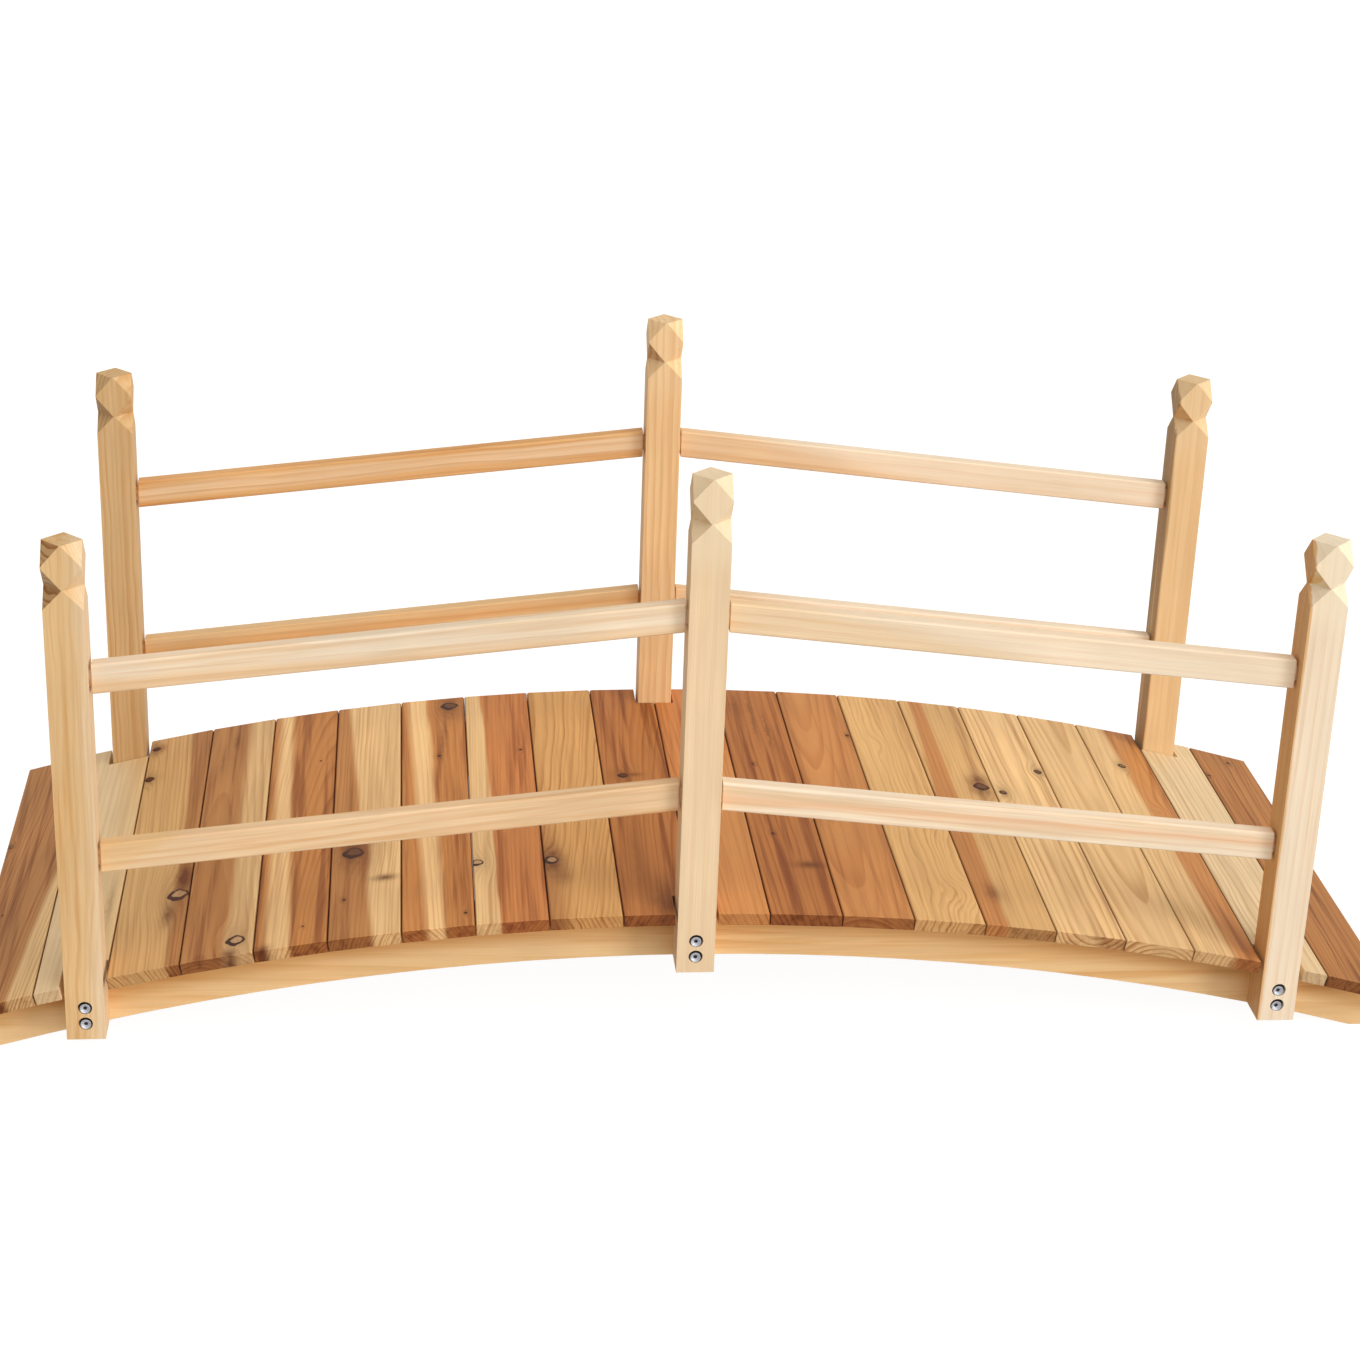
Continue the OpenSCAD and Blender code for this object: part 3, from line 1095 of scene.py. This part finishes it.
class BRIDGE_OT_stringers(bpy.types.Operator):
    """Lays the two curved stringers"""

    bl_idname = "bridge.stringers"
    bl_label = "Stringers"

    def execute(self, context):
        edge = context.scene.bridge_edges.stringer
        for side, cut in STRINGER_CUTS.items():
            node = side + "_stringer"
            dress(node, edge, stringer_board(node), cut)
        return {"FINISHED"}


ROUND_STEPS = 36
SIXTH = math.tau / 6
SOCKET_MARGIN = 1.15
TURN_BY_X = 40
TURN_BY_Z = 300


def turned_head(bolts):
    """A dished bolt head along +Z, open at its foot on z = 0 and in the middle of its dish."""
    dish_floor = bolts.height - bolts.dish
    outline = (
        (bolts.head, 0),
        (bolts.head, bolts.height - bolts.rim),
        (bolts.head - bolts.bevel, bolts.height - bolts.bevel),
        (bolts.head - bolts.crest, bolts.height),
        (bolts.head - bolts.rim, bolts.height - bolts.bevel),
        (bolts.head - bolts.slope, dish_floor),
        (bolts.socket * SOCKET_MARGIN, dish_floor),
    )
    bm = bmesh.new()
    points = [bm.verts.new((radius, 0, height)) for radius, height in outline]
    lines = [bm.edges.new(pair) for pair in zip(points, points[1:])]
    bmesh.ops.spin(
        bm,
        geom=points + lines,
        cent=(0, 0, 0),
        axis=(0, 0, 1),
        angle=math.tau,
        steps=ROUND_STEPS,
        use_merge=True,
    )
    bmesh.ops.remove_doubles(bm, verts=bm.verts, dist=MERGE_DISTANCE)
    return bm


def sink_socket(bm, bolts):
    """Draws the opening in the dish in to six sides and then down, and closes the head."""
    opening = [edge for edge in bm.edges if edge.is_boundary and edge.verts[0].co.z > bolts.height / 2]
    for depth in (0, bolts.socket_depth):
        made = bmesh.ops.extrude_edge_only(bm, edges=opening)["geom"]
        opening = [item for item in made if isinstance(item, bmesh.types.BMEdge)]
        for vert in (item for item in made if isinstance(item, bmesh.types.BMVert)):
            turn = math.atan2(vert.co.y, vert.co.x) % SIXTH - SIXTH / 2
            reach = bolts.socket * math.cos(SIXTH / 2) / math.cos(turn)
            vert.co.xy = vert.co.xy.normalized() * reach
            vert.co.z = bolts.height - bolts.dish - depth
    bmesh.ops.holes_fill(bm, edges=bm.edges, sides=0)
    bmesh.ops.recalc_face_normals(bm, faces=bm.faces)


def bolt_head(bolts):
    """A dished bolt head with a six-sided key socket, dark at its side and in the socket as painted shade.
    """
    bm = turned_head(bolts)
    sink_socket(bm, bolts)
    for face in bm.faces:
        face.smooth = len(face.verts) == 4
        # The socket and the side of the head take the dark steel, as painted shade.
        in_socket = max(vert.co.xy.length for vert in face.verts) < bolts.socket * 1.01
        at_side = min(vert.co.z for vert in face.verts) < bolts.height / 2
        face.material_index = int(in_socket or at_side)
    return bm


def add_washer(bm, bolts, matrix):
    """Adds a dark washer, which paints the shade in the recess round the head, standing on the given place.
    """
    made = bmesh.ops.create_cone(
        bm,
        cap_ends=True,
        segments=ROUND_STEPS,
        radius1=bolts.washer,
        radius2=bolts.washer,
        depth=bolts.washer_thickness,
        matrix=matrix @ Matrix.Translation((0, 0, bolts.washer_thickness / 2)),
    )
    for face in {face for vert in made["verts"] for face in vert.link_faces}:
        face.material_index = 1


def bolt_seats(bolts):
    """Name and seat of each bolt, and the way it faces along Y, -1 or 1."""
    for side, outward in SIDES.items():
        for place in PLACES:
            low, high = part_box(f"{side}_{place}_post")
            face = low.y if side == "front" else high.y
            for level, rise in (("lower", bolts.low), ("upper", bolts.low + bolts.pitch)):
                seat = Vector(((low.x + high.x) / 2, face - outward * bolts.recess, low.z + rise))
                yield f"{side}_{place}_{level}_bolt", seat, outward


class BRIDGE_OT_bolts(bpy.types.Operator):
    """Sets two bolt heads into each post's foot"""

    bl_idname = "bridge.bolts"
    bl_label = "Bolts"

    def execute(self, context):
        bolts = context.scene.bridge_bolts
        # The dark steel is painted shade, for the washer, the head's side and the socket.
        finishes = steel("bolt_zinc", bolts.zinc, 0.3), steel("bolt_dark", bolts.dark, 0.0)
        for name, seat, outward in bolt_seats(bolts):
            turn = Matrix.Rotation(-outward * math.pi / 2, 4, "X")
            # Each key socket stands at another angle, which follows from the bolt's place
            roll = Matrix.Rotation(seat.x * TURN_BY_X + seat.z * TURN_BY_Z, 4, "Z")
            sunk = Matrix.Translation(seat - Vector((0, 0, bolts.drop)))
            bm = bolt_head(bolts)
            bmesh.ops.transform(bm, matrix=sunk @ turn @ roll, verts=bm.verts)
            add_washer(bm, bolts, Matrix.Translation(seat) @ turn)
            piece = new_piece(name, bm, *finishes)
        return {"FINISHED"}


FLOOR_GREY = (0.6, 0.6, 0.6, 1)
FLOOR_GLOW = 1.35
FLOOR_GLOW_SHARE = 0.7
FRAME_WIDTH = 36


def background_rays(finish):
    """1 for the rays that should see a white background."""
    path = finish.node("ShaderNodeLightPath").output.node
    rays = [Socket(finish, path.outputs[f"Is {kind} Ray"]) for kind in ("Camera", "Glossy", "Transmission")]
    return rays[0].math("MAXIMUM", rays[1]).math("MAXIMUM", rays[2])


def floor_finish():
    """White floor that keeps a faint shadow."""
    finish = Finish(bpy.data.materials.new("floor_white"))
    plain = finish.node("ShaderNodeBsdfDiffuse", {}, {"Color": FLOOR_GREY})
    glow = finish.node("ShaderNodeEmission", {}, {"Color": WHITE, "Strength": FLOOR_GLOW})
    share = background_rays(finish) * FLOOR_GLOW_SHARE
    return finish.done(finish.node("ShaderNodeMixShader", {}, {0: share, 1: plain, 2: glow}))


class BRIDGE_OT_stage(bpy.types.Operator):
    """Sets up the floor, the lamps and the camera"""

    bl_idname = "bridge.stage"
    bl_label = "Stage"

    def execute(self, context):
        stage = context.scene.bridge_stage
        self.lay_floor(stage)
        self.set_lamps(stage)
        self.set_world(stage)
        self.set_camera(stage)
        context.scene.view_settings.view_transform = "Standard"
        return {"FINISHED"}

    def lay_floor(self, stage):
        bm = bmesh.new()
        bmesh.ops.create_grid(bm, x_segments=1, y_segments=1, size=stage.floor / 2)
        floor = new_shape("floor", bm, floor_finish())

    def set_lamps(self, stage):
        for name in ("key", "side", "top"):
            data = bpy.data.lights.new(name, "SUN")
            data.energy = getattr(stage, name)
            data.angle = getattr(stage, name + "_spread")
            towards = Vector(getattr(stage, name + "_from"))
            lamp = new_object(name, data)
            lamp.rotation_euler = towards.to_track_quat("Z", "Y").to_euler()

    def set_world(self, stage):
        world = bpy.data.worlds.new("studio")
        bpy.context.scene.world = world
        finish = Finish(world)
        seen = background_rays(finish)
        brightness = seen * (1 - stage.fill) + stage.fill
        colour = finish.mix(seen, linear(stage.fill_tone), WHITE)
        light = finish.node("ShaderNodeBackground", {}, {"Color": colour, "Strength": brightness})
        finish.done(light, "ShaderNodeOutputWorld")

    def set_camera(self, stage):
        data = bpy.data.cameras.new("camera")
        data.sensor_width = FRAME_WIDTH
        data.lens = stage.lens
        camera = new_object("camera", data)
        camera.matrix_world = (
            Matrix.Translation(stage.camera_place)
            @ Matrix.Rotation(-stage.yaw, 4, "Z")
            @ Matrix.Rotation(math.pi / 2 + stage.pitch, 4, "X")
            @ Matrix.Rotation(stage.roll, 4, "Z")
        )
        bpy.context.scene.camera = camera


OPERATORS = (
    BRIDGE_OT_stage,
    BRIDGE_OT_planks,
    BRIDGE_OT_stringers,
    BRIDGE_OT_posts,
    BRIDGE_OT_rails,
    BRIDGE_OT_bolts,
)


class BRIDGE_PT_panel(bpy.types.Panel):
    """Lists the pieces of the bridge"""

    bl_idname = "BRIDGE_PT_panel"
    bl_label = "Arched garden bridge"
    bl_space_type = "VIEW_3D"
    bl_region_type = "UI"
    bl_category = "Bridge"

    def draw(self, context):
        for operator in OPERATORS:
            self.layout.operator(operator.bl_idname)


GROUPS = {
    "bridge_woods": BridgeWoods,
    "bridge_edges": BridgeEdges,
    "bridge_bolts": BridgeBolts,
    "bridge_stage": BridgeStage,
}


def register():
    for name, group in GROUPS.items():
        bpy.utils.register_class(group)
        setattr(bpy.types.Scene, name, bpy.props.PointerProperty(type=group))
    for item in (*OPERATORS, BRIDGE_PT_panel):
        bpy.utils.register_class(item)


def unregister():
    for item in (BRIDGE_PT_panel, *reversed(OPERATORS)):
        bpy.utils.unregister_class(item)
    for name, group in reversed(GROUPS.items()):
        delattr(bpy.types.Scene, name)
        bpy.utils.unregister_class(group)


def main():
    register()
    bpy.ops.bridge.stage()
    bpy.ops.bridge.planks()
    bpy.ops.bridge.stringers()
    bpy.ops.bridge.posts()
    bpy.ops.bridge.rails()
    bpy.ops.bridge.bolts()


if __name__ == "__main__":
    main()
